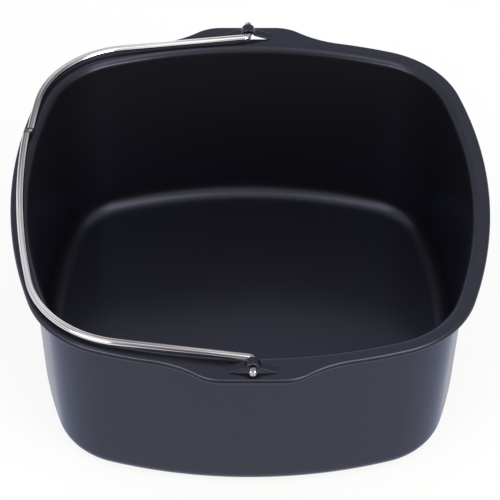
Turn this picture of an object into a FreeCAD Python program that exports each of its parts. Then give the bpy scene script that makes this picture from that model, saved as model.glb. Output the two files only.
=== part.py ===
import FreeCAD, Part
import math
import os

# Cake pan for an air fryer: a deep pan drawn from one steel sheet, and a wire bail hinged on its rim.
# Lengths are millimetres and angles degrees. The origin is the middle of the flat base.
# X runs to the right, Y to the back tab and Z up. The bail lies folded to the left, along -X.

# Pan, plan of the rim seen from above: four bowed sides and four round corners
RIM_WIDTH = 190.5
RIM_SIDE_RADIUS = 199.2
RIM_CORNER_RADIUS = 41.2

# Pan, section from the rim down to the base
PAN_HEIGHT = 78.7
SHEET = 0.8
FLANGE_FLAT = 3.9
SHOULDER_RADIUS = 3.5
WALL_LEAN = 3.3
BASE_BEND_RADIUS = 7.8
LIP_HEIGHT = 2.0
LIP_BEND_RADIUS = 0.9

# Tabs in the middle of the front and back of the rim
TAB_REACH = 6.4
TAB_STRAIGHT = 22.8
TAB_CORNER_RADIUS = 17.3
TAB_ROOT_RADIUS = 43.5

# Arch cut from each tab and pushed up over the end of the wire
ARCH_LENGTH = 19.6
ARCH_WIDTH = 3.8
ARCH_SETBACK = 4.0
ARCH_WING_SLOPE = 19.0
ARCH_VALLEY_RADIUS = 1.2
PIVOT_CLEARANCE = 0.4

# Bail, bent from one round wire
WIRE_DIAMETER = 3.0
WIRE_ABOVE_RIM = 0.9
WIRE_END_SETBACK = 1.2
WIRE_END_CHAMFER = 0.3
HOOK_BEND_INSIDE_RADIUS = 0.3
HOOK_TO_ARCH = 0.3
FRONT_ARM_SLOPE = 8.9
BACK_ARM_SLOPE = 7.6
FRONT_BEND_RADIUS = 41.0
BACK_BEND_RADIUS = 39.7
BAIL_RIM_MARGIN = 3.8
BAIL_SIDE_RADIUS = 288.0
BAIL_SKEW = 4.9

# Small sideways step in the bail's side, where the two ends of the wire meet
JOGGLE_PLACE = 33.2
JOGGLE_STEP = 1.35
JOGGLE_INSIDE_RADIUS = 0.4

TOLERANCE = 0.001
QUARTER_TURN = 90.0
HALF_TURN = 180.0
UP = FreeCAD.Vector(0, 0, 1)
ORIGIN = FreeCAD.Vector(0, 0, 0)

# Sizes that follow from the ones above
RIM_HALF = RIM_WIDTH / 2
SIDE_CENTRE = RIM_HALF - RIM_SIDE_RADIUS
TAB_EDGE = RIM_HALF + TAB_REACH
ARCH_OUTER_SIDE = TAB_EDGE - ARCH_SETBACK
ARCH_INNER_SIDE = ARCH_OUTER_SIDE - ARCH_WIDTH
WIRE_RADIUS = WIRE_DIAMETER / 2
AXIS_HEIGHT = PAN_HEIGHT + WIRE_ABOVE_RIM + WIRE_RADIUS
HINGE_POINT = FreeCAD.Vector(0, 0, AXIS_HEIGHT)
ARCH_OUTER_RADIUS = WIRE_RADIUS + PIVOT_CLEARANCE + SHEET
HOOK_RADIUS = WIRE_RADIUS + HOOK_BEND_INSIDE_RADIUS
HOOK_CENTRE = ARCH_INNER_SIDE - HOOK_TO_ARCH
JOGGLE_RADIUS = WIRE_RADIUS + JOGGLE_INSIDE_RADIUS
WIRE_END = TAB_EDGE - WIRE_END_SETBACK
BAIL_BOW_CENTRE = FreeCAD.Vector(BAIL_SIDE_RADIUS - (RIM_HALF - BAIL_RIM_MARGIN), BAIL_SKEW, AXIS_HEIGHT)


def corner_centre():
    """Distance from both axes to the centre of a rim corner that runs on smoothly into the sides."""
    reach = RIM_SIDE_RADIUS - RIM_CORNER_RADIUS
    return (SIDE_CENTRE + math.sqrt(2 * reach ** 2 - SIDE_CENTRE ** 2)) / 2


CORNER_CENTRE = corner_centre()
SIDE_HALF_ANGLE = math.degrees(math.atan2(CORNER_CENTRE, CORNER_CENTRE - SIDE_CENTRE))


def arc(x, y, radius, start, end, z):
    """Arc about (x, y) in a level plane, counter-clockwise from start to end."""
    circle = Part.Circle(FreeCAD.Vector(x, y, z), UP, radius)
    return Part.Arc(circle, math.radians(start), math.radians(end)).toShape()


def line(start, end):
    return Part.LineSegment(FreeCAD.Vector(*start), FreeCAD.Vector(*end)).toShape()


def arc_between(centre, start, end):
    """Arc under half a turn from start to end about a centre."""
    bisector = (start - centre) + (end - centre)
    bisector.normalize()
    middle = centre + bisector * (start - centre).Length
    return Part.Arc(start, middle, end).toShape()


def face_of(edges):
    return Part.Face(Part.Wire(Part.__sortEdges__(edges)))


def plate(edges, thickness):
    return face_of(edges).extrude(UP * thickness)


def one_solid(shapes):
    """Joins shapes that meet into one clean solid."""
    joined = shapes[0].fuse(shapes[1:]).removeSplitter()
    return joined.Solids[0] if len(joined.Solids) == 1 else joined


def turned(shape, angle):
    copy = shape.copy()
    copy.rotate(ORIGIN, UP, angle)
    return copy


def rim_edges(inset, z):
    """The bowed square of the rim, drawn in by an inset that keeps every arc's centre."""
    side = arc(SIDE_CENTRE, 0, RIM_SIDE_RADIUS - inset, -SIDE_HALF_ANGLE, SIDE_HALF_ANGLE, z)
    corner = corner_edge(inset, z)
    edges = []
    for quarter in range(4):
        edges.append(turned(side, quarter * QUARTER_TURN))
        edges.append(turned(corner, quarter * QUARTER_TURN))
    return edges


def corner_edge(inset, z):
    start = SIDE_HALF_ANGLE
    end = QUARTER_TURN - SIDE_HALF_ANGLE
    return arc(CORNER_CENTRE, CORNER_CENTRE, RIM_CORNER_RADIUS - inset, start, end, z)


def tab_root_centre():
    """Centre of the hollow arc that leads from the rim's bowed side out to the tab's corner."""
    corner_x = TAB_STRAIGHT / 2
    corner_y = TAB_EDGE - TAB_CORNER_RADIUS
    to_side = RIM_SIDE_RADIUS + TAB_ROOT_RADIUS
    to_corner = TAB_CORNER_RADIUS + TAB_ROOT_RADIUS
    rise = corner_y - SIDE_CENTRE
    apart = math.hypot(corner_x, rise)
    along = (to_side ** 2 - to_corner ** 2 + apart ** 2) / (2 * apart)
    across = math.sqrt(to_side ** 2 - along ** 2)
    x = (along * corner_x + across * rise) / apart
    y = SIDE_CENTRE + (along * rise - across * corner_x) / apart
    return x, y


def tab_quarter_edges(inset, z):
    """Back right quarter of the outer edge, from the rim's corner to the tab's straight edge."""
    root_x, root_y = tab_root_centre()
    corner_x = TAB_STRAIGHT / 2
    corner_y = TAB_EDGE - TAB_CORNER_RADIUS
    side_end = math.degrees(math.atan2(root_y - SIDE_CENTRE, root_x))
    lean = math.degrees(math.atan2(root_y - corner_y, root_x - corner_x))
    side_start = QUARTER_TURN - SIDE_HALF_ANGLE
    return [
        corner_edge(inset, z),
        arc(0, SIDE_CENTRE, RIM_SIDE_RADIUS - inset, side_start, side_end, z),
        arc(root_x, root_y, TAB_ROOT_RADIUS + inset, lean + HALF_TURN, side_end + HALF_TURN, z),
        arc(corner_x, corner_y, TAB_CORNER_RADIUS - inset, lean, QUARTER_TURN, z),
    ]


def tabbed_edges(inset, z):
    """The flange's outer edge with a tab at the front and the back, drawn in by an inset."""
    quarter = tab_quarter_edges(inset, z)
    mirrored = [edge.mirror(ORIGIN, FreeCAD.Vector(1, 0, 0)) for edge in quarter]
    edge_y = TAB_EDGE - inset
    straight = line((-TAB_STRAIGHT / 2, edge_y, z), (TAB_STRAIGHT / 2, edge_y, z))
    left = arc(-SIDE_CENTRE, 0, RIM_SIDE_RADIUS - inset,
               HALF_TURN - SIDE_HALF_ANGLE, HALF_TURN + SIDE_HALF_ANGLE, z)
    half = quarter + mirrored + [straight, left]
    return half + [turned(edge, HALF_TURN) for edge in half]


def top_edges(solid, z):
    return [edge for edge in solid.Edges if edge.BoundBox.ZMin > z - TOLERANCE]


def rounded_plate(inset, height, bend_radius):
    """A plate of the flange's outline, standing on the lip's lower edge, with a rounded top edge."""
    bottom = PAN_HEIGHT - LIP_HEIGHT
    solid = plate(tabbed_edges(inset, bottom), height)
    return solid.makeFillet(bend_radius, top_edges(solid, bottom + height))


def flange():
    """Flat ring round the mouth with two tabs, its outer edge turned down as a lip."""
    outside = rounded_plate(0, LIP_HEIGHT, LIP_BEND_RADIUS)
    hollow = rounded_plate(SHEET, LIP_HEIGHT - SHEET, LIP_BEND_RADIUS - SHEET)
    mouth = plate(rim_edges(FLANGE_FLAT, PAN_HEIGHT - LIP_HEIGHT), LIP_HEIGHT)
    return outside.cut([hollow, mouth])


def section_arc(centre, radius, start, end):
    """Arc in the upright XZ plane; angles rise from +X towards +Z."""
    points = []
    for angle in (start, (start + end) / 2, end):
        turn = math.radians(angle)
        points.append(FreeCAD.Vector(centre[0] + radius * math.cos(turn), 0,
                                     centre[1] + radius * math.sin(turn)))
    return Part.Arc(*points).toShape()


def base_bend_centre(plan_radius):
    """Centre of the bend into the base, for a wall section at this plan radius from its axis."""
    lean = math.radians(WALL_LEAN)
    shoulder_x = plan_radius - FLANGE_FLAT
    shoulder_z = PAN_HEIGHT - SHOULDER_RADIUS
    inward = shoulder_z * math.sin(lean) - shoulder_x * math.cos(lean)
    wall = inward + SHOULDER_RADIUS - SHEET
    x = (BASE_BEND_RADIUS * math.sin(lean) - wall - BASE_BEND_RADIUS) / math.cos(lean)
    return x, BASE_BEND_RADIUS


def wall_section(plan_radius):
    """Section of shoulder, leaning wall and base bend, in the XZ plane about the Z axis."""
    shoulder = (plan_radius - FLANGE_FLAT, PAN_HEIGHT - SHOULDER_RADIUS)
    base = base_bend_centre(plan_radius)
    wall_side = HALF_TURN - WALL_LEAN
    under_radius = SHOULDER_RADIUS - SHEET
    inside_radius = BASE_BEND_RADIUS - SHEET
    skins = [
        (section_arc(shoulder, SHOULDER_RADIUS, QUARTER_TURN, wall_side),
         section_arc(base, inside_radius, -WALL_LEAN, -QUARTER_TURN)),
        (section_arc(shoulder, under_radius, QUARTER_TURN, wall_side),
         section_arc(base, BASE_BEND_RADIUS, -WALL_LEAN, -QUARTER_TURN)),
    ]
    edges = []
    for upper, lower in skins:
        wall = line(upper.valueAt(upper.LastParameter), lower.valueAt(lower.FirstParameter))
        edges += [upper, wall, lower]
    edges.append(line((shoulder[0], 0, PAN_HEIGHT), (shoulder[0], 0, PAN_HEIGHT - SHEET)))
    edges.append(line((base[0], 0, SHEET), (base[0], 0, 0)))
    return face_of(edges)


def wall_sweep(x, y, plan_radius, start, end):
    """The wall section swept about an upright axis at (x, y), between two angles."""
    swept = wall_section(plan_radius).revolve(ORIGIN, UP, end - start)
    swept = turned(swept, start)
    swept.translate(FreeCAD.Vector(x, y, 0))
    return swept


def walls():
    side = wall_sweep(SIDE_CENTRE, 0, RIM_SIDE_RADIUS, -SIDE_HALF_ANGLE, SIDE_HALF_ANGLE)
    corner = wall_sweep(CORNER_CENTRE, CORNER_CENTRE, RIM_CORNER_RADIUS,
                        SIDE_HALF_ANGLE, QUARTER_TURN - SIDE_HALF_ANGLE)
    quarters = []
    for quarter in range(4):
        quarters.append(turned(side, quarter * QUARTER_TURN))
        quarters.append(turned(corner, quarter * QUARTER_TURN))
    return quarters


def floor():
    """Flat base inside the bends."""
    inset = RIM_SIDE_RADIUS - base_bend_centre(RIM_SIDE_RADIUS)[0]
    return plate(rim_edges(inset, 0), SHEET)


def arch_half(skin):
    """Points of one skin of the arch on its +X side, for the skin this far below the top one.

    The wing climbs straight from its foot, bends up round the valley's centre and meets the dome.
    """
    slope = math.radians(ARCH_WING_SLOPE)
    foot = FreeCAD.Vector(ARCH_LENGTH / 2, 0, PAN_HEIGHT)
    climb = FreeCAD.Vector(-math.cos(slope), 0, math.sin(slope))
    above = FreeCAD.Vector(math.sin(slope), 0, math.cos(slope))
    beside = foot + above * ARCH_VALLEY_RADIUS - HINGE_POINT
    reach = ARCH_OUTER_RADIUS + ARCH_VALLEY_RADIUS
    ahead = beside.dot(climb)
    run = -ahead - math.sqrt(ahead ** 2 - beside.Length ** 2 + reach ** 2)
    valley = foot + above * ARCH_VALLEY_RADIUS + climb * run
    towards = valley - HINGE_POINT
    towards.normalize()
    dome_end = HINGE_POINT + towards * (ARCH_OUTER_RADIUS - skin)
    wing_top = valley - above * (ARCH_VALLEY_RADIUS + skin)
    down = (wing_top.z - PAN_HEIGHT + skin) / math.sin(slope)
    wing_foot = wing_top - climb * down
    return valley, dome_end, wing_top, wing_foot


def mirrored_point(point):
    return FreeCAD.Vector(-point.x, point.y, point.z)


def arch():
    """Strip of the back tab pushed up into a dome over the wire, with a wing down each side."""
    edges = []
    for skin in (0, SHEET):
        valley, dome_end, wing_top, wing_foot = arch_half(skin)
        half = [arc_between(valley, dome_end, wing_top), line(wing_top, wing_foot)]
        edges += half + [edge.mirror(ORIGIN, FreeCAD.Vector(1, 0, 0)) for edge in half]
        crown = HINGE_POINT + UP * (ARCH_OUTER_RADIUS - skin)
        edges.append(Part.Arc(dome_end, crown, mirrored_point(dome_end)).toShape())
    slot_end = FreeCAD.Vector(ARCH_LENGTH / 2, 0, PAN_HEIGHT - SHEET)
    foot_edges = [line(slot_end + UP * SHEET, slot_end), line(slot_end, wing_foot)]
    edges += foot_edges + [edge.mirror(ORIGIN, FreeCAD.Vector(1, 0, 0)) for edge in foot_edges]
    strip = face_of(edges).extrude(FreeCAD.Vector(0, ARCH_WIDTH, 0))
    strip.translate(FreeCAD.Vector(0, ARCH_INNER_SIDE, 0))
    return strip


def arch_slot():
    """Opening that the arch leaves in the back tab."""
    slot = Part.makeBox(ARCH_LENGTH, ARCH_WIDTH, LIP_HEIGHT)
    slot.translate(FreeCAD.Vector(-ARCH_LENGTH / 2, ARCH_INNER_SIDE, PAN_HEIGHT - LIP_HEIGHT))
    return slot


def pan_body():
    slots = [arch_slot(), turned(arch_slot(), HALF_TURN)]
    ring = flange().cut(slots)
    arches = [arch(), turned(arch(), HALF_TURN)]
    return one_solid([ring] + walls() + [floor()] + arches)


def bail_side_point(radius, bearing):
    """Point on the bail's bowed side; the bearing is measured from -X towards +Y."""
    turn = math.radians(bearing)
    return BAIL_BOW_CENTRE + FreeCAD.Vector(-math.cos(turn), math.sin(turn), 0) * radius


def bail_end(side, slope, bend_radius, side_radius):
    """Wire from its end under one arch, round the hook, along the arm and round the corner bend.

    The side is -1 at the front and 1 at the back. The last point is where the bowed side begins.
    """
    lean = math.radians(slope)
    along = FreeCAD.Vector(-math.cos(lean), -side * math.sin(lean), 0)
    inward = FreeCAD.Vector(math.sin(lean), -side * math.cos(lean), 0)
    wire_end = FreeCAD.Vector(0, side * WIRE_END, AXIS_HEIGHT)
    hook_start = FreeCAD.Vector(0, side * HOOK_CENTRE, AXIS_HEIGHT)
    hook_centre = hook_start - FreeCAD.Vector(HOOK_RADIUS, 0, 0)
    arm_start = hook_centre + inward * HOOK_RADIUS
    beside_arm = arm_start + inward * bend_radius - BAIL_BOW_CENTRE
    reach = side_radius - bend_radius
    ahead = beside_arm.dot(along)
    arm_length = math.sqrt(ahead ** 2 - beside_arm.Length ** 2 + reach ** 2) - ahead
    arm_end = arm_start + along * arm_length
    bend_centre = arm_end + inward * bend_radius
    outward = bend_centre - BAIL_BOW_CENTRE
    outward.normalize()
    side_start = bend_centre + outward * bend_radius
    edges = [
        line(wire_end, hook_start),
        arc_between(hook_centre, hook_start, arm_start),
        line(arm_start, arm_end),
        arc_between(bend_centre, arm_end, side_start),
    ]
    return edges, side_start


def joggle():
    """Two small arcs that step the wire inward; the front part of the side bow is the outer one."""
    start_bearing = math.degrees(math.asin((JOGGLE_PLACE - BAIL_SKEW) / BAIL_SIDE_RADIUS))
    first_reach = BAIL_SIDE_RADIUS - JOGGLE_RADIUS
    second_reach = BAIL_SIDE_RADIUS - JOGGLE_STEP + JOGGLE_RADIUS
    apart = 2 * JOGGLE_RADIUS
    cosine = (first_reach ** 2 + second_reach ** 2 - apart ** 2) / (2 * first_reach * second_reach)
    end_bearing = start_bearing + math.degrees(math.acos(cosine))
    first_centre = bail_side_point(first_reach, start_bearing)
    second_centre = bail_side_point(second_reach, end_bearing)
    start = bail_side_point(BAIL_SIDE_RADIUS, start_bearing)
    end = bail_side_point(BAIL_SIDE_RADIUS - JOGGLE_STEP, end_bearing)
    middle = (first_centre + second_centre) * 0.5
    edges = [arc_between(first_centre, start, middle), arc_between(second_centre, middle, end)]
    return edges, start, end


def bail_path():
    """Centre line of the whole wire, in one level plane."""
    front, front_side = bail_end(-1, FRONT_ARM_SLOPE, FRONT_BEND_RADIUS, BAIL_SIDE_RADIUS)
    back, back_side = bail_end(1, BACK_ARM_SLOPE, BACK_BEND_RADIUS, BAIL_SIDE_RADIUS - JOGGLE_STEP)
    step, step_start, step_end = joggle()
    bows = [arc_between(BAIL_BOW_CENTRE, front_side, step_start),
            arc_between(BAIL_BOW_CENTRE, step_end, back_side)]
    return Part.Wire(Part.__sortEdges__(front + bows + step + back))


def wire_end_rings(solid):
    """Round edges of the two cut ends of the wire."""
    rings = []
    for edge in solid.Edges:
        box = edge.BoundBox
        if box.YLength < TOLERANCE and abs(abs(box.YMin) - WIRE_END) < TOLERANCE:
            rings.append(edge)
    return rings


def bail_handle():
    """Round wire swept along the path, with its cut ends eased."""
    start = FreeCAD.Vector(0, -WIRE_END, AXIS_HEIGHT)
    ring = Part.Wire(Part.makeCircle(WIRE_RADIUS, start, FreeCAD.Vector(0, 1, 0)))
    wire = bail_path().makePipeShell([ring], True, True)
    solid = wire if wire.ShapeType == "Solid" else Part.Solid(wire)
    return solid.makeChamfer(WIRE_END_CHAMFER, wire_end_rings(solid))


def write(node, shape):
    shape.exportStep("parts/" + node + ".step")


os.makedirs("parts", exist_ok=True)
write("pan_body", pan_body())
write("bail_handle", bail_handle())
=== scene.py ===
import math

import bpy
from mathutils import Matrix, Vector


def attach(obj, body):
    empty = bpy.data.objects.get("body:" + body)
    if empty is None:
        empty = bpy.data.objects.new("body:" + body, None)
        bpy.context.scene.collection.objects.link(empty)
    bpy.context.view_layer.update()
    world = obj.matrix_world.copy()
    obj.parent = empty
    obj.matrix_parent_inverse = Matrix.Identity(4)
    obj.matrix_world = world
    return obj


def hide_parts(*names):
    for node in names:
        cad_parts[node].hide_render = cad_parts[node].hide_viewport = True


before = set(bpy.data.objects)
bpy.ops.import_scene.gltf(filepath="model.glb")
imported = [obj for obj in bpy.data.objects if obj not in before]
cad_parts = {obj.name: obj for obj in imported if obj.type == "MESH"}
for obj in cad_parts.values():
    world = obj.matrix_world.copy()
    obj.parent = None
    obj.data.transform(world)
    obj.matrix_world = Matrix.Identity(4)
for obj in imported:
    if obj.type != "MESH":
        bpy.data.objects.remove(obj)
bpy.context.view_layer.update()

# Lengths are millimetres, as in the part's source, unless a comment says metres.
# They turn into metres when a mesh is made.
MM = 0.001
ROUNDING = 0.001
QUARTER = math.pi / 2

# Pan, plan of the rim
RIM_HALF = 95.25
RIM_SIDE_RADIUS = 199.2
RIM_CORNER_RADIUS = 41.2
SIDE_CENTRE = RIM_HALF - RIM_SIDE_RADIUS

# Pan, section from the rim down to the base
PAN_HEIGHT = 78.7
SHEET = 0.8
FLANGE_FLAT = 3.9
SHOULDER_RADIUS = 3.5
WALL_LEAN = math.radians(3.3)
BASE_BEND_RADIUS = 7.8
LIP_HEIGHT = 2.0
LIP_BEND_RADIUS = 0.9
EASED_EDGE = 0.15
SHARP_ANGLE = math.radians(50)

# Tabs and the arch over each end of the wire
TAB_REACH = 6.4
TAB_EDGE = RIM_HALF + TAB_REACH
TAB_STRAIGHT = 22.8
TAB_CORNER_RADIUS = 17.3
TAB_ROOT_RADIUS = 43.5
ARCH_HALF_LENGTH = 9.8
ARCH_SETBACK = 4.0
ARCH_WIDTH = 3.8
ARCH_OUTER_SIDE = TAB_EDGE - ARCH_SETBACK
ARCH_INNER_SIDE = ARCH_OUTER_SIDE - ARCH_WIDTH
ARCH_WING_SLOPE = math.radians(19.0)
ARCH_VALLEY_RADIUS = 1.2
ARCH_DOME_REACH = 4.8

# Bail wire; -1 stands for its front end and 1 for its back end
WIRE_RADIUS = 1.5
WIRE_ABOVE_RIM = 0.9
WIRE_CLEARANCE = 0.4
AXIS_HEIGHT = PAN_HEIGHT + WIRE_ABOVE_RIM + WIRE_RADIUS
ARCH_OUTER_RADIUS = WIRE_RADIUS + WIRE_CLEARANCE + SHEET
WIRE_END_SETBACK = 1.2
WIRE_END = TAB_EDGE - WIRE_END_SETBACK
WIRE_END_CHAMFER = 0.3
HOOK_INNER_RADIUS = 0.3
HOOK_RADIUS = WIRE_RADIUS + HOOK_INNER_RADIUS
HOOK_GAP = 0.3
HOOK_CENTRE = ARCH_INNER_SIDE - HOOK_GAP
ARM_SLOPE = {-1: math.radians(8.9), 1: math.radians(7.6)}
ARM_BEND_RADIUS = {-1: 41.0, 1: 39.7}
BAIL_SIDE_RADIUS = 288.0
BAIL_SIDE_INSET = 3.8
BAIL_BOW_SHIFT = 4.9
BAIL_BOW_CENTRE = Vector((BAIL_SIDE_RADIUS - RIM_HALF + BAIL_SIDE_INSET, BAIL_BOW_SHIFT))
JOGGLE_PLACE = 33.2
JOGGLE_STEP = 1.35
JOGGLE_INNER_RADIUS = 0.4
JOGGLE_RADIUS = WIRE_RADIUS + JOGGLE_INNER_RADIUS
JOGGLE_LENGTH = 2 * math.sqrt(JOGGLE_RADIUS ** 2 - (JOGGLE_RADIUS - JOGGLE_STEP / 2) ** 2)
SEAM_PLACE = JOGGLE_PLACE + JOGGLE_LENGTH / 2

# Rows of the pan's mesh in each column: the lip's, the flange's, and those that an arch lifts
LIP_BEND_STEPS = 6
LIP_ROWS = LIP_BEND_STEPS + 1
FLANGE_ROWS = 9
ARCH_ROWS = (2, 6)

# Steps down the pan's section
SHOULDER_STEPS = 10
WALL_STEPS = 12
BASE_BEND_STEPS = 12

# Rings of the pan's floor inside its rim, as shares of the rim's size
FLOOR_RINGS = (0.9, 0.78, 0.64, 0.5, 0.35, 0.2, 0.08)

# Spacing of the points on the wire's centre line, and the sides of its round section
END_SPACING = 1.0
HOOK_SPACING = 0.25
ARM_SPACING = 2.5
BEND_SPACING = 2.0
SIDE_SPACING = 2.5
JOGGLE_SPACING = 0.3
WIRE_SIDES = 32
CUT_ANGLE = math.radians(35)

# Coating: scales and specks per metre, relief as (strength, depth in metres), colours, and
# factors on its colour by depth down the lip and by nearness to an arch's cut edge, which paint
# light and shade there
GRAIN_SCALE = 2600.0
CLOUD_SCALE = 38.0
SPECK_SCALE = 900.0
SPECK_REACH = (0.015, 0.06)
GRAIN_RELIEF = (0.18, 0.00006)
COATING_COLOUR = (0.0245, 0.0265, 0.041, 1)
SPECK_COLOUR = (0.075, 0.078, 0.095, 1)
COATING_TINT = (0.6, 0.64, 0.84, 1)
COATING_ROUGHNESS = (0.19, 0.26)
# Down the lip: a painted highlight along the bend, painted shade on the face below it, and a paler
# lower edge where the coating wears thin, with a painted highlight on it
LIP_PAINTED_LIGHT_AND_WEAR = ((0.03, 1.0), (0.1, 3.4), (0.18, 0.35), (0.78, 0.4), (0.84, 2.6))
# At an arch's cut edges: paler worn edges with a painted highlight on them
CUT_EDGE_WEAR_AND_SHEEN = ((0.7, 1.0), (0.85, 2.0))

# Wire: streaks stretched along it, their relief and colours, and its roughness at the joint and
# elsewhere
STREAK_SCALE = (0.012, 11.0, 1.0)
STREAK_RANGE = (0.4, 0.6)
STREAK_RELIEF = (0.25, 0.00005)
DARK_STREAK = (0.26, 0.245, 0.28, 1)
LIGHT_STREAK = (1.0, 0.975, 1.0, 1)
WIRE_ROUGHNESS = (0.6, 0.12)

# Length from the wire's front end whose streaks are darkened as painted shade, where its front arm
# reflects dimmer surroundings; its fade, and how much darker it is
SHADED_ARM_LENGTH = 48.0
SHADED_ARM_FADE = 15.0
SHADED_ARM_TONE = -0.07

# Darkening at the wire's joint, as (distance behind the seam, share of colour left): a dark line
# where the two ends meet, and painted shade over the step in front of it
JOINT_LINE_AND_SHADE = ((-3.0, 1.0), (-2.3, 0.4), (-0.35, 0.4), (-0.2, 0.05), (0.25, 0.05), (0.45, 1.0))

# Camera fitted to the photograph: angles in degrees, clip start in metres
CAMERA_AZIMUTH = -1.02892
CAMERA_ELEVATION = 44.62410
CAMERA_ROLL = 0.68174
CAMERA_TARGET = (0.37344, 12.56998, 35.0)
CAMERA_DISTANCE = 1341.233
CAMERA_LENS = 235.54
CAMERA_CLIP_START = 0.05

# Floor, half its size in metres and its gap below the base, and the surroundings
FLOOR_HALF = 2.5
FLOOR_GAP = 0.2
FLOOR_COLOUR = (0.95, 0.95, 0.955, 1)
FLOOR_WHITENESS = 0.85
WORLD_LEVEL = 1.0

# Dimmer parts of the surroundings: direction, outer and inner angle in degrees, share of light left
DIM_PATCHES = (
    ((0.95, 0.24, 0.19), 40, 15, 0.45),
    ((0.52, 0.70, 0.48), 27, 10, 0.6),
    ((-0.52, 0.70, 0.48), 27, 10, 0.7),
    ((-0.25, -0.94, 0.20), 28, 12, 0.35),
)

# Soft boxes, four in front and one behind
# Each as bearing from the front, height angle, width and height in metres, watts
SOFTBOXES = {
    "left_softbox": (-46, 57, 0.55, 0.9, 3.0),
    "right_softbox": (46, 57, 0.55, 0.9, 3.9),
    "left_strip": (-40, 16, 0.8, 0.34, 4.5),
    "right_strip": (40, 16, 0.8, 0.34, 7.5),
    "rear_strip": (180, 15, 1.6, 0.3, 0.8),
}
SOFTBOX_DISTANCE_METRES = 1.3
SOFTBOX_COLOUR = (1.0, 0.94, 0.85)


def corner_centre():
    """Distance from the middle of the pan to its corner arcs' centre, the same along X and Y."""
    reach = RIM_SIDE_RADIUS - RIM_CORNER_RADIUS
    return (SIDE_CENTRE + math.sqrt(2 * reach ** 2 - SIDE_CENTRE ** 2)) / 2


CORNER_CENTRE = corner_centre()
SIDE_HALF_ANGLE = math.atan2(CORNER_CENTRE, CORNER_CENTRE - SIDE_CENTRE)


def spread(start, end, count):
    """Evenly spaced values from start to end, both included."""
    return [start + (end - start) * step / count for step in range(count + 1)]


def smooth(value):
    """Smooth step from 0 to 1, held at the ends."""
    value = min(max(value, 0.0), 1.0)
    return value * value * (3 - 2 * value)


# Pan

def pan_profile():
    """Upper skin from the flange's inner edge down to the flat floor, as (inset, height) pairs."""
    points = []
    shoulder_z = PAN_HEIGHT - SHOULDER_RADIUS
    for turn in spread(0, QUARTER - WALL_LEAN, SHOULDER_STEPS):
        points.append((FLANGE_FLAT + SHOULDER_RADIUS * math.sin(turn),
                       shoulder_z + SHOULDER_RADIUS * math.cos(turn)))
    inside = BASE_BEND_RADIUS - SHEET
    wall_top = points[-1]
    base_start_z = BASE_BEND_RADIUS - inside * math.sin(WALL_LEAN)
    drop = wall_top[1] - base_start_z
    base_start = (wall_top[0] + drop * math.tan(WALL_LEAN), base_start_z)
    for share in spread(0, 1, WALL_STEPS)[1:-1]:
        points.append((wall_top[0] + (base_start[0] - wall_top[0]) * share,
                       wall_top[1] - drop * share))
    centre_inset = base_start[0] + inside * math.cos(WALL_LEAN)
    for turn in spread(WALL_LEAN, QUARTER, BASE_BEND_STEPS):
        points.append((centre_inset - inside * math.cos(turn),
                       BASE_BEND_RADIUS - inside * math.sin(turn)))
    return points


def rim_ray(bearing):
    """Arc centre, arc radius and outward direction of the rim at a bearing (side, turn).

    The side is "back", "corner" or "right", and the turn is about that arc's own centre, from +Y.
    """
    kind, turn = bearing
    direction = Vector((math.sin(turn), math.cos(turn)))
    if kind == "back":
        return Vector((0, SIDE_CENTRE)), RIM_SIDE_RADIUS, direction
    if kind == "right":
        return Vector((SIDE_CENTRE, 0)), RIM_SIDE_RADIUS, direction
    return Vector((CORNER_CENTRE, CORNER_CENTRE)), RIM_CORNER_RADIUS, direction


def tab_root_centre():
    """Centre of the hollow arc that joins the tab's corner to the rim's side."""
    corner = Vector((TAB_STRAIGHT / 2, TAB_EDGE - TAB_CORNER_RADIUS))
    to_side = RIM_SIDE_RADIUS + TAB_ROOT_RADIUS
    to_corner = TAB_CORNER_RADIUS + TAB_ROOT_RADIUS
    rise = corner.y - SIDE_CENTRE
    apart = math.hypot(corner.x, rise)
    along = (to_side ** 2 - to_corner ** 2 + apart ** 2) / (2 * apart)
    across = math.sqrt(to_side ** 2 - along ** 2)
    return Vector(((along * corner.x + across * rise) / apart,
                   SIDE_CENTRE + (along * rise - across * corner.x) / apart))


TAB_ROOT = tab_root_centre()
TAB_CORNER = Vector((TAB_STRAIGHT / 2, TAB_EDGE - TAB_CORNER_RADIUS))
TO_ROOT = (TAB_ROOT - TAB_CORNER).normalized()
ROOT_START = TAB_CORNER + TO_ROOT * TAB_CORNER_RADIUS
ROOT_END_ANGLE = math.atan2(TAB_ROOT.x, TAB_ROOT.y - SIDE_CENTRE)
ROOT_END_X = RIM_SIDE_RADIUS * math.sin(ROOT_END_ANGLE)


def tab_edge_point(x):
    """Point and outward normal of the tab's outer edge at this distance from its middle."""
    if x <= TAB_CORNER.x:
        return Vector((x, TAB_EDGE)), Vector((0, 1))
    if x <= ROOT_START.x:
        side = x - TAB_CORNER.x
        normal = Vector((side, math.sqrt(TAB_CORNER_RADIUS ** 2 - side ** 2))) / TAB_CORNER_RADIUS
        return TAB_CORNER + normal * TAB_CORNER_RADIUS, normal
    side = TAB_ROOT.x - x
    normal = Vector((side, math.sqrt(TAB_ROOT_RADIUS ** 2 - side ** 2))) / TAB_ROOT_RADIUS
    return TAB_ROOT - normal * TAB_ROOT_RADIUS, normal


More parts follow.
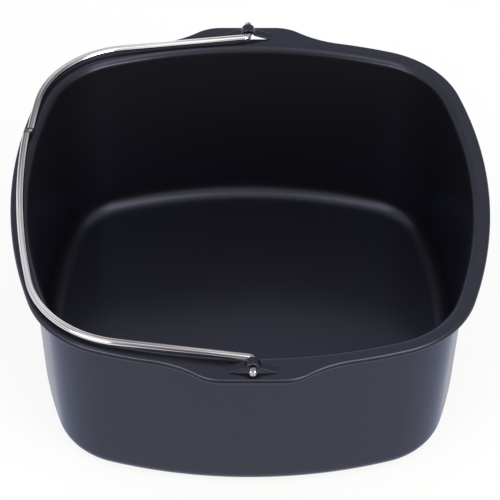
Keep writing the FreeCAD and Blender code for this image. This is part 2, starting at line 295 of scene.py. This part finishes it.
def arch_lift(x):
    """Height of the arch's top skin above the flange, at this distance from its middle."""
    slope = ARCH_WING_SLOPE
    hinge = Vector((0, AXIS_HEIGHT))
    foot = Vector((ARCH_HALF_LENGTH, PAN_HEIGHT))
    climb = Vector((-math.cos(slope), math.sin(slope)))
    above = Vector((math.sin(slope), math.cos(slope)))
    beside = foot + above * ARCH_VALLEY_RADIUS - hinge
    reach = ARCH_OUTER_RADIUS + ARCH_VALLEY_RADIUS
    ahead = beside.dot(climb)
    run = -ahead - math.sqrt(ahead ** 2 - beside.length_squared + reach ** 2)
    valley = foot + above * ARCH_VALLEY_RADIUS + climb * run
    dome_end = hinge + (valley - hinge).normalized() * ARCH_OUTER_RADIUS
    wing_top = valley - above * ARCH_VALLEY_RADIUS
    if x <= dome_end.x:
        return AXIS_HEIGHT + math.sqrt(ARCH_OUTER_RADIUS ** 2 - x ** 2) - PAN_HEIGHT
    if x <= wing_top.x:
        return valley.y - math.sqrt(ARCH_VALLEY_RADIUS ** 2 - (x - valley.x) ** 2) - PAN_HEIGHT
    return (ARCH_HALF_LENGTH - x) * math.tan(slope)


def tab_stations():
    """Distances from the tab's middle at which its columns stand, out to the end of its root."""
    stations = spread(0, ARCH_DOME_REACH, 20) + spread(ARCH_DOME_REACH, ARCH_HALF_LENGTH, 10)[1:]
    stations += spread(ARCH_HALF_LENGTH, TAB_CORNER.x, 2)[1:]
    stations += spread(TAB_CORNER.x, ROOT_START.x, 10)[1:]
    return stations + spread(ROOT_START.x, ROOT_END_X, 12)[1:]


def flange_stops():
    """Distances of a tab's rows from the pan's middle, from the mouth out to the lip's bend."""
    mouth = RIM_HALF - FLANGE_FLAT
    lip = TAB_EDGE - LIP_BEND_RADIUS
    stops = [mouth, (mouth + ARCH_INNER_SIDE) / 2] + spread(ARCH_INNER_SIDE, ARCH_OUTER_SIDE, 4)
    return stops + spread(ARCH_OUTER_SIDE, lip, 3)[1:]


def column(mouth_ray, edge, edge_normal, x, tab):
    """One column of the quarter: every row from the lip's lower edge to the floor's rim.

    Returns (points, raised), where raised holds the arch's rows and is empty beside the arch.
    """
    centre, radius, direction = mouth_ray
    points = [(edge, PAN_HEIGHT - LIP_HEIGHT), (edge, PAN_HEIGHT - LIP_BEND_RADIUS)]
    for turn in spread(0, QUARTER, LIP_BEND_STEPS)[1:]:
        inset = LIP_BEND_RADIUS * (1 - math.cos(turn))
        z = PAN_HEIGHT - LIP_BEND_RADIUS * (1 - math.sin(turn))
        points.append((edge - edge_normal * inset, z))
    lip = edge - edge_normal * LIP_BEND_RADIUS
    mouth = centre + direction * (radius - FLANGE_FLAT)
    stops = flange_stops()
    fixed = 1 - smooth((x - ARCH_HALF_LENGTH) / (ROOT_END_X - ARCH_HALF_LENGTH)) if tab else 0
    for row in range(FLANGE_ROWS - 2, 0, -1):
        share = row / (FLANGE_ROWS - 1)
        if fixed:
            stop = (stops[row] - mouth.y) / (lip.y - mouth.y)
            share += (min(max(stop, 0), 1) - share) * fixed
        points.append((mouth.lerp(lip, share), PAN_HEIGHT))
    for inset, z in pan_profile():
        points.append((centre + direction * (radius - inset), z))
    raised = []
    if tab and x < ARCH_HALF_LENGTH - ROUNDING:
        lift = arch_lift(x)
        for row in range(ARCH_ROWS[1], ARCH_ROWS[0] - 1, -1):
            share = (stops[row] - mouth.y) / (lip.y - mouth.y)
            raised.append((mouth.lerp(lip, share), PAN_HEIGHT + lift))
    return points, raised


def quarter_columns():
    """Columns from the middle of the back side to the middle of the right one, ends included."""
    columns = []
    mouth_radius = RIM_SIDE_RADIUS - FLANGE_FLAT
    mouth_end = mouth_radius * math.sin(ROOT_END_ANGLE)
    for x in tab_stations():
        blend = smooth((x - TAB_CORNER.x) / (ROOT_END_X - TAB_CORNER.x))
        mouth_x = x + (mouth_end - ROOT_END_X) * blend
        turn = math.asin(mouth_x / mouth_radius)
        edge, normal = tab_edge_point(x)
        columns.append(column(rim_ray(("back", turn)), edge, normal, x, True))
    corner_end = QUARTER - SIDE_HALF_ANGLE
    bearings = [("back", turn) for turn in spread(ROOT_END_ANGLE, SIDE_HALF_ANGLE, 8)[1:]]
    bearings += [("corner", turn) for turn in spread(SIDE_HALF_ANGLE, corner_end, 30)[1:]]
    bearings += [("right", turn) for turn in spread(corner_end, QUARTER, 28)[1:]]
    for bearing in bearings:
        ray = rim_ray(bearing)
        centre, radius, direction = ray
        columns.append(column(ray, centre + direction * radius, direction, 0, False))
    return columns


def mirrored(columns, sign_x, sign_y):
    """The same columns in another quarter of the pan."""
    def flipped(rows):
        return [(Vector((p.x * sign_x, p.y * sign_y)), z) for p, z in rows]

    return [(flipped(points), flipped(raised)) for points, raised in columns]


def pan_mesh():
    """The sheet's upper skin as quads; a modifier gives it its thickness."""
    quarter = quarter_columns()
    ring = quarter + mirrored(quarter, 1, -1)[-2::-1]
    ring += mirrored(quarter, -1, -1)[1:] + mirrored(quarter, -1, 1)[-2:0:-1]
    rows = len(ring[0][0])
    count = len(ring)
    vertices = [(p.x, p.y, z) for points, raised in ring for p, z in points]
    faces = []
    mouth_row = LIP_ROWS + FLANGE_ROWS - 1
    slot_start, slot_end = mouth_row - ARCH_ROWS[1], mouth_row - ARCH_ROWS[0]

    def in_slot(column):
        return bool(ring[column % count][1])

    for column in range(count):
        after = (column + 1) % count
        slotted = in_slot(column) or in_slot(after)
        for row in range(rows - 1):
            if slotted and slot_start <= row < slot_end:
                continue
            here, there = column * rows + row, after * rows + row
            faces.append((here, here + 1, there + 1, there))
    arch_start = {}
    for column in range(count):
        if in_slot(column):
            arch_start[column] = len(vertices)
            vertices += [(p.x, p.y, z) for p, z in ring[column][1]]
    strip_rows = ARCH_ROWS[1] - ARCH_ROWS[0] + 1

    def strip(column):
        if column in arch_start:
            return [arch_start[column] + row for row in range(strip_rows)]
        return [column * rows + slot_start + row for row in range(strip_rows)]

    for column in range(count):
        after = (column + 1) % count
        if in_slot(column) or in_slot(after):
            near, far = strip(column), strip(after)
            for row in range(strip_rows - 1):
                faces.append((near[row], near[row + 1], far[row + 1], far[row]))
    inner = [column * rows + rows - 1 for column in range(count)]
    floor_z = vertices[inner[0]][2]
    previous = inner
    for scale in FLOOR_RINGS:
        start = len(vertices)
        vertices += [(vertices[i][0] * scale, vertices[i][1] * scale, floor_z) for i in inner]
        current = [start + column for column in range(count)]
        for column in range(count):
            after = (column + 1) % count
            faces.append((previous[column], current[column], current[after], previous[after]))
        previous = current
    vertices.append((0, 0, floor_z))
    for column in range(count):
        faces.append((previous[column], len(vertices) - 1, previous[(column + 1) % count]))
    mesh = bpy.data.meshes.new("pan_shell")
    mesh.from_pydata([Vector(v) * MM for v in vertices], [], faces)
    mesh.validate()
    mark_edges(mesh, rows, count, arch_start)
    return mesh


def mark_edges(mesh, rows, count, arch_start):
    """Mark how far down the lip each point is, and which points are on the cut edges of an arch."""
    lip = mesh.attributes.new("lip_drop", "FLOAT", "POINT")
    for column in range(count):
        for row in range(LIP_ROWS):
            place = column * rows + row
            lip.data[place].value = (PAN_HEIGHT - mesh.vertices[place].co.z / MM) / LIP_HEIGHT
    cut = mesh.attributes.new("cut_edge", "FLOAT", "POINT")
    for start in arch_start.values():
        cut.data[start].value = 1.0
        cut.data[start + ARCH_ROWS[1] - ARCH_ROWS[0]].value = 1.0


def add_object(name, mesh, body, node, material):
    """A smooth piece of the visual model that rides on a body and replaces one CAD node."""
    piece = bpy.data.objects.new(name, mesh)
    bpy.context.scene.collection.objects.link(piece)
    mesh.materials.append(material)
    mesh.polygons.foreach_set("use_smooth", [True] * len(mesh.polygons))
    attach(piece, body)
    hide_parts(node)
    return piece


# Materials

def node_tree(name):
    """A new material with its nodes, its links and its Principled shader."""
    material = bpy.data.materials.new(name)
    material.use_nodes = True
    nodes = material.node_tree.nodes
    return material, nodes, material.node_tree.links, nodes["Principled BSDF"]


def ramp_of(nodes, shades):
    """Colour ramp of greys from (position, level) pairs."""
    ramp = nodes.new("ShaderNodeValToRGB")
    stops = ramp.color_ramp.elements
    while len(stops) < len(shades):
        stops.new(0.5)
    for stop, (position, level) in zip(stops, shades):
        stop.position = position
        stop.color = (level, level, level, 1)
    return ramp


def noise(nodes, links, vector, scale, detail):
    """Noise texture's level over a vector output."""
    texture = nodes.new("ShaderNodeTexNoise")
    texture.inputs["Scale"].default_value = scale
    texture.inputs["Detail"].default_value = detail
    links.new(vector, texture.inputs["Vector"])
    return texture.outputs["Fac"]


def relief(nodes, links, height, strength, distance, shader):
    """Fine bump on a shader, with the distance in metres."""
    bump = nodes.new("ShaderNodeBump")
    bump.inputs["Strength"].default_value = strength
    bump.inputs["Distance"].default_value = distance
    links.new(height, bump.inputs["Height"])
    links.new(bump.outputs["Normal"], shader.inputs["Normal"])


def mapped(nodes, links, value, low, high, source=(0.0, 1.0)):
    """A value mapped from the source range to the range from low to high."""
    span = nodes.new("ShaderNodeMapRange")
    span.inputs["From Min"].default_value = source[0]
    span.inputs["From Max"].default_value = source[1]
    span.inputs["To Min"].default_value = low
    span.inputs["To Max"].default_value = high
    links.new(value, span.inputs["Value"])
    return span.outputs["Result"]


def combined(nodes, links, operation, first, second):
    """Two values put together by a Math node."""
    step = nodes.new("ShaderNodeMath")
    step.operation = operation
    links.new(first, step.inputs[0])
    links.new(second, step.inputs[1])
    return step.outputs["Value"]


def two_tones(nodes, links, value, first, second):
    """A value turned into a colour, by two stops of (position, colour)."""
    ramp = nodes.new("ShaderNodeValToRGB")
    for stop, (position, colour) in zip(ramp.color_ramp.elements, (first, second)):
        stop.position = position
        stop.color = colour
    links.new(value, ramp.inputs["Fac"])
    return ramp.outputs["Color"]


def coating_material():
    """Dark grey non-stick coating with a slight violet cast, fine grain, a few pale specks, and
    painted highlights and shade on its lip and cut edges.
    """
    material, nodes, links, shader = node_tree("pan_coating")
    place = nodes.new("ShaderNodeTexCoord").outputs["Object"]
    grain = noise(nodes, links, place, GRAIN_SCALE, 3.0)
    relief(nodes, links, grain, *GRAIN_RELIEF, shader)
    cloud = noise(nodes, links, place, CLOUD_SCALE, 4.0)
    links.new(mapped(nodes, links, cloud, *COATING_ROUGHNESS), shader.inputs["Roughness"])
    specks = nodes.new("ShaderNodeTexVoronoi")
    specks.inputs["Scale"].default_value = SPECK_SCALE
    links.new(place, specks.inputs["Vector"])
    shaded = two_tones(nodes, links, specks.outputs["Distance"],
                       (SPECK_REACH[0], SPECK_COLOUR), (SPECK_REACH[1], COATING_COLOUR))
    # Painted highlights and shade down the lip, and paler worn cut edges with painted highlights,
    # multiply the coating's colour
    for attribute, shades in (("lip_drop", LIP_PAINTED_LIGHT_AND_WEAR), ("cut_edge", CUT_EDGE_WEAR_AND_SHEEN)):
        mark = nodes.new("ShaderNodeAttribute")
        mark.attribute_name = attribute
        share = ramp_of(nodes, shades)
        links.new(mark.outputs["Fac"], share.inputs["Fac"])
        product = nodes.new("ShaderNodeVectorMath")
        product.operation = "MULTIPLY"
        links.new(shaded, product.inputs[0])
        links.new(share.outputs["Color"], product.inputs[1])
        shaded = product.outputs["Vector"]
    links.new(shaded, shader.inputs["Base Color"])
    shader.inputs["Metallic"].default_value = 0.8
    shader.inputs["IOR"].default_value = 1.45
    shader.inputs["Coat Weight"].default_value = 0.3
    shader.inputs["Coat Roughness"].default_value = 0.5
    shader.inputs["Specular Tint"].default_value = COATING_TINT
    return material


def joint_line_and_shade(nodes, links):
    """Darkening at the joint: a dark line where the two ends meet, and painted shade on the step in
    front of it.
    """
    place = nodes.new("ShaderNodeTexCoord")
    axes = nodes.new("ShaderNodeSeparateXYZ")
    links.new(place.outputs["Object"], axes.inputs["Vector"])
    first, last = JOINT_LINE_AND_SHADE[0][0], JOINT_LINE_AND_SHADE[-1][0]
    across = mapped(nodes, links, axes.outputs["Y"], 0.0, 1.0,
                    ((SEAM_PLACE + first) * MM, (SEAM_PLACE + last) * MM))
    shades = [((offset - first) / (last - first), light) for offset, light in JOINT_LINE_AND_SHADE]
    ramp = ramp_of(nodes, shades)
    links.new(across, ramp.inputs["Fac"])
    return ramp.outputs["Color"]


def wire_material():
    """Drawn stainless wire with fine lengthwise streaks, a dark line where its two ends meet, and
    painted shade on its front arm and on the step at its joint.
    """
    material, nodes, links, shader = node_tree("bail_wire")
    along = nodes.new("ShaderNodeUVMap")
    along.uv_map = "along"
    stretch = nodes.new("ShaderNodeMapping")
    stretch.inputs["Scale"].default_value = STREAK_SCALE
    links.new(along.outputs["UV"], stretch.inputs["Vector"])
    streak = noise(nodes, links, stretch.outputs["Vector"], 1.0, 4.0)
    length = nodes.new("ShaderNodeSeparateXYZ")
    links.new(along.outputs["UV"], length.inputs["Vector"])
    # Painted shade: the streaks near the front end, on the front arm, are darker, as that arm
    # reflects dimmer surroundings
    arm_shade = mapped(nodes, links, length.outputs["X"], SHADED_ARM_TONE, 0.0,
                  (SHADED_ARM_LENGTH, SHADED_ARM_LENGTH + SHADED_ARM_FADE))
    shaded_streak = combined(nodes, links, "ADD", streak, arm_shade)
    tone = two_tones(nodes, links, shaded_streak,
                     (STREAK_RANGE[0], DARK_STREAK), (STREAK_RANGE[1], LIGHT_STREAK))
    # Dark line at the joint, and painted shade over the step in front of it
    joint = joint_line_and_shade(nodes, links)
    shade = nodes.new("ShaderNodeVectorMath")
    shade.operation = "SCALE"
    links.new(tone, shade.inputs[0])
    links.new(joint, shade.inputs["Scale"])
    links.new(shade.outputs["Vector"], shader.inputs["Base Color"])
    links.new(mapped(nodes, links, joint, *WIRE_ROUGHNESS), shader.inputs["Roughness"])
    shader.inputs["Metallic"].default_value = 1.0
    relief(nodes, links, streak, *STREAK_RELIEF, shader)
    return material


# Bail

def arc_points(centre, start, end, step):
    """Points on the arc under half a turn about a centre, without its first point."""
    a, b = start - centre, end - centre
    turn = math.atan2(a.x * b.y - a.y * b.x, a.dot(b))
    count = max(2, math.ceil(abs(turn) * a.length / step))
    out = []
    for share in spread(0, turn, count)[1:]:
        out.append(centre + Matrix.Rotation(share, 2) @ a)
    return out


def line_points(start, end, step):
    """Points on the line, without its first point."""
    count = max(1, math.ceil((end - start).length / step))
    return [start.lerp(end, share) for share in spread(0, 1, count)[1:]]


def bail_end(side, side_radius):
    """One end of the wire: straight end, hook, arm and the bend into the bail's side."""
    lean = ARM_SLOPE[side]
    bend_radius = ARM_BEND_RADIUS[side]
    along = Vector((-math.cos(lean), -side * math.sin(lean)))
    inward = Vector((math.sin(lean), -side * math.cos(lean)))
    wire_end = Vector((0, side * WIRE_END))
    hook_start = Vector((0, side * HOOK_CENTRE))
    hook_centre = hook_start - Vector((HOOK_RADIUS, 0))
    arm_start = hook_centre + inward * HOOK_RADIUS
    beside = arm_start + inward * bend_radius - BAIL_BOW_CENTRE
    reach = side_radius - bend_radius
    ahead = beside.dot(along)
    arm_length = math.sqrt(ahead ** 2 - beside.length_squared + reach ** 2) - ahead
    arm_end = arm_start + along * arm_length
    bend_centre = arm_end + inward * bend_radius
    side_start = bend_centre + (bend_centre - BAIL_BOW_CENTRE).normalized() * bend_radius
    points = [wire_end] + line_points(wire_end, hook_start, END_SPACING)
    points += arc_points(hook_centre, hook_start, arm_start, HOOK_SPACING)
    points += line_points(arm_start, arm_end, ARM_SPACING)
    return points + arc_points(bend_centre, arm_end, side_start, BEND_SPACING)


def side_point(radius, bearing):
    """Point of the bail's bowed side, at a bearing from -X about the bow's centre."""
    return BAIL_BOW_CENTRE + Vector((-math.cos(bearing), math.sin(bearing))) * radius


def bail_path():
    """Centre line of the wire seen from above, from its front end to its back end."""
    front = bail_end(-1, BAIL_SIDE_RADIUS)
    back = bail_end(1, BAIL_SIDE_RADIUS - JOGGLE_STEP)[::-1]
    start_bearing = math.asin((JOGGLE_PLACE - BAIL_BOW_CENTRE.y) / BAIL_SIDE_RADIUS)
    first_reach = BAIL_SIDE_RADIUS - JOGGLE_RADIUS
    second_reach = BAIL_SIDE_RADIUS - JOGGLE_STEP + JOGGLE_RADIUS
    cosine = (first_reach ** 2 + second_reach ** 2 - 4 * JOGGLE_RADIUS ** 2)
    cosine /= 2 * first_reach * second_reach
    end_bearing = start_bearing + math.acos(cosine)
    first = side_point(first_reach, start_bearing)
    second = side_point(second_reach, end_bearing)
    start = side_point(BAIL_SIDE_RADIUS, start_bearing)
    end = side_point(BAIL_SIDE_RADIUS - JOGGLE_STEP, end_bearing)
    middle = (first + second) / 2
    path = front + arc_points(BAIL_BOW_CENTRE, front[-1], start, SIDE_SPACING)
    path += arc_points(first, start, middle, JOGGLE_SPACING)
    path += arc_points(second, middle, end, JOGGLE_SPACING)
    return path + arc_points(BAIL_BOW_CENTRE, end, back[0], SIDE_SPACING)[:-1] + back


def wire_mesh():
    """Round wire along the path, with eased ends and a map of the places along and around it."""
    sides = WIRE_SIDES
    path = bail_path()
    tangents = []
    for i, point in enumerate(path):
        before = path[max(i - 1, 0)]
        after = path[min(i + 1, len(path) - 1)]
        tangents.append((after - before).normalized())
    ease = [(0, WIRE_RADIUS - WIRE_END_CHAMFER), (WIRE_END_CHAMFER, WIRE_RADIUS)]
    first, last = tangents[0], tangents[-1]
    rings = [(path[0] + first * push, first, radius) for push, radius in ease]
    rings += [(p, t, WIRE_RADIUS) for p, t in zip(path[1:-1], tangents[1:-1])]
    rings += [(path[-1] - last * push, last, radius) for push, radius in ease[::-1]]
    vertices, uvs, faces = [], [], []
    length = 0.0
    for i, (centre, tangent, radius) in enumerate(rings):
        if i:
            length += (centre - rings[i - 1][0]).length
        side = Vector((tangent.y, -tangent.x))
        for k in range(sides):
            turn = 2 * math.pi * k / sides
            flat = centre + side * radius * math.cos(turn)
            vertices.append((flat.x, flat.y, AXIS_HEIGHT + radius * math.sin(turn)))
            uvs.append((length, k / sides))
    for ring in range(0, (len(rings) - 1) * sides, sides):
        for k in range(sides):
            after = (k + 1) % sides
            faces.append((ring + k, ring + sides + k, ring + sides + after, ring + after))
    last_ring = (len(rings) - 1) * sides
    faces.append(tuple(range(sides)))
    faces.append(tuple(range(last_ring, last_ring + sides))[::-1])
    mesh = bpy.data.meshes.new("bail_wire")
    mesh.from_pydata([Vector(v) * MM for v in vertices], [], faces)
    layer = mesh.uv_layers.new(name="along")
    for polygon in mesh.polygons:
        around = [uvs[vertex][1] for vertex in polygon.vertices]
        wraps = len(around) == 4 and max(around) - min(around) > 0.5
        for loop in polygon.loop_indices:
            u, v = uvs[mesh.loops[loop].vertex_index]
            layer.data[loop].uv = (u, v + 1 if wraps and v < 0.5 else v)
    return mesh


def make_pieces():
    """The pan's sheet and the bail's wire, which replace the two CAD nodes."""
    shell = add_object("pan_shell", pan_mesh(), "pan", "pan_body",
                       coating_material())
    sheet = shell.modifiers.new("sheet", "SOLIDIFY")
    sheet.thickness = SHEET * MM
    sheet.offset = -1
    sheet.use_even_offset = True
    edges = shell.modifiers.new("eased edges", "BEVEL")
    edges.width = EASED_EDGE * MM
    edges.segments = 2
    edges.limit_method = "ANGLE"
    edges.angle_limit = SHARP_ANGLE
    wire = add_object("bail_wire", wire_mesh(), "bail", "bail_handle",
                      wire_material())
    crease = wire.modifiers.new("cut ends", "EDGE_SPLIT")
    crease.split_angle = CUT_ANGLE


# Camera, light and floor

def place_camera():
    """Camera at the photograph's viewing angle."""
    azimuth = math.radians(CAMERA_AZIMUTH)
    elevation = math.radians(CAMERA_ELEVATION)
    roll = math.radians(CAMERA_ROLL)
    target = Vector(CAMERA_TARGET) * MM
    back = Vector((math.sin(azimuth) * math.cos(elevation),
                   -math.cos(azimuth) * math.cos(elevation), math.sin(elevation)))
    right = Vector((math.cos(azimuth), math.sin(azimuth), 0))
    up = back.cross(right)
    across = right * math.cos(roll) + up * math.sin(roll)
    above = up * math.cos(roll) - right * math.sin(roll)
    data = bpy.data.cameras.new("camera")
    data.sensor_width = 36.0
    data.lens = CAMERA_LENS
    data.clip_start = CAMERA_CLIP_START
    camera = bpy.data.objects.new("camera", data)
    basis = Matrix((across, above, back)).transposed().to_4x4()
    camera.matrix_world = Matrix.Translation(target + back * CAMERA_DISTANCE * MM) @ basis
    bpy.context.scene.collection.objects.link(camera)
    bpy.context.scene.camera = camera


def make_floor():
    """Pale floor that takes shadows, and that the camera and reflections see nearly white."""
    mesh = bpy.data.meshes.new("floor")
    size, low = FLOOR_HALF, -FLOOR_GAP * MM
    corners = [(-size, -size, low), (size, -size, low), (size, size, low), (-size, size, low)]
    mesh.from_pydata(corners, [], [(0, 1, 2, 3)])
    floor = bpy.data.objects.new("floor", mesh)
    bpy.context.scene.collection.objects.link(floor)
    material, nodes, links, shader = node_tree("pale_floor")
    shader.inputs["Base Color"].default_value = FLOOR_COLOUR
    shader.inputs["Roughness"].default_value = 0.9
    rays = nodes.new("ShaderNodeLightPath").outputs
    seen = combined(nodes, links, "MAXIMUM", rays["Is Camera Ray"], rays["Is Glossy Ray"])
    seen = combined(nodes, links, "MAXIMUM", seen, rays["Is Transmission Ray"])
    glow = nodes.new("ShaderNodeMath")
    glow.operation = "MULTIPLY"
    glow.inputs[1].default_value = FLOOR_WHITENESS
    links.new(seen, glow.inputs[0])
    white = nodes.new("ShaderNodeEmission")
    mix = nodes.new("ShaderNodeMixShader")
    links.new(glow.outputs["Value"], mix.inputs["Fac"])
    links.new(shader.outputs["BSDF"], mix.inputs[1])
    links.new(white.outputs["Emission"], mix.inputs[2])
    links.new(mix.outputs["Shader"], nodes["Material Output"].inputs["Surface"])
    mesh.materials.append(material)


def make_world():
    """White surroundings with a few dimmer parts behind, beside and in front of the object."""
    world = bpy.data.worlds.new("studio")
    world.use_nodes = True
    bpy.context.scene.world = world
    nodes, links = world.node_tree.nodes, world.node_tree.links
    direction = nodes.new("ShaderNodeTexCoord")
    level = nodes.new("ShaderNodeValue")
    level.outputs["Value"].default_value = WORLD_LEVEL
    strength = level.outputs["Value"]
    for centre, edge, core, remaining in DIM_PATCHES:
        towards = nodes.new("ShaderNodeVectorMath")
        towards.operation = "DOT_PRODUCT"
        towards.inputs[1].default_value = Vector(centre).normalized()
        links.new(direction.outputs["Generated"], towards.inputs[0])
        share = mapped(nodes, links, towards.outputs["Value"], 1.0, remaining,
                       (math.cos(math.radians(edge)), math.cos(math.radians(core))))
        share.node.interpolation_type = "SMOOTHSTEP"
        strength = combined(nodes, links, "MULTIPLY", strength, share)
    light = nodes.new("ShaderNodeBackground")
    links.new(strength, light.inputs["Strength"])
    seen = nodes["Background"]
    seen.inputs["Color"].default_value = (1.0, 1.0, 1.0, 1)
    path = nodes.new("ShaderNodeLightPath")
    choice = nodes.new("ShaderNodeMixShader")
    links.new(path.outputs["Is Camera Ray"], choice.inputs["Fac"])
    links.new(light.outputs["Background"], choice.inputs[1])
    links.new(seen.outputs["Background"], choice.inputs[2])
    links.new(choice.outputs["Shader"], nodes["World Output"].inputs["Surface"])


def make_lamps():
    """Rectangular area lamps that face the middle of the base."""
    for name, (bearing, height_angle, width, height, watts) in SOFTBOXES.items():
        lamp = bpy.data.lights.new(name, "AREA")
        lamp.shape = "RECTANGLE"
        lamp.size = width
        lamp.size_y = height
        lamp.energy = watts
        lamp.color = SOFTBOX_COLOUR
        piece = bpy.data.objects.new(name, lamp)
        turn = math.radians(bearing)
        rise = math.radians(height_angle)
        away = Vector((math.sin(turn) * math.cos(rise), -math.cos(turn) * math.cos(rise),
                       math.sin(rise)))
        piece.location = away * SOFTBOX_DISTANCE_METRES
        piece.rotation_euler = away.to_track_quat("Z", "Y").to_euler()
        bpy.context.scene.collection.objects.link(piece)


make_pieces()
place_camera()
make_floor()
make_world()
make_lamps()
bpy.context.scene.view_settings.view_transform = "Standard"
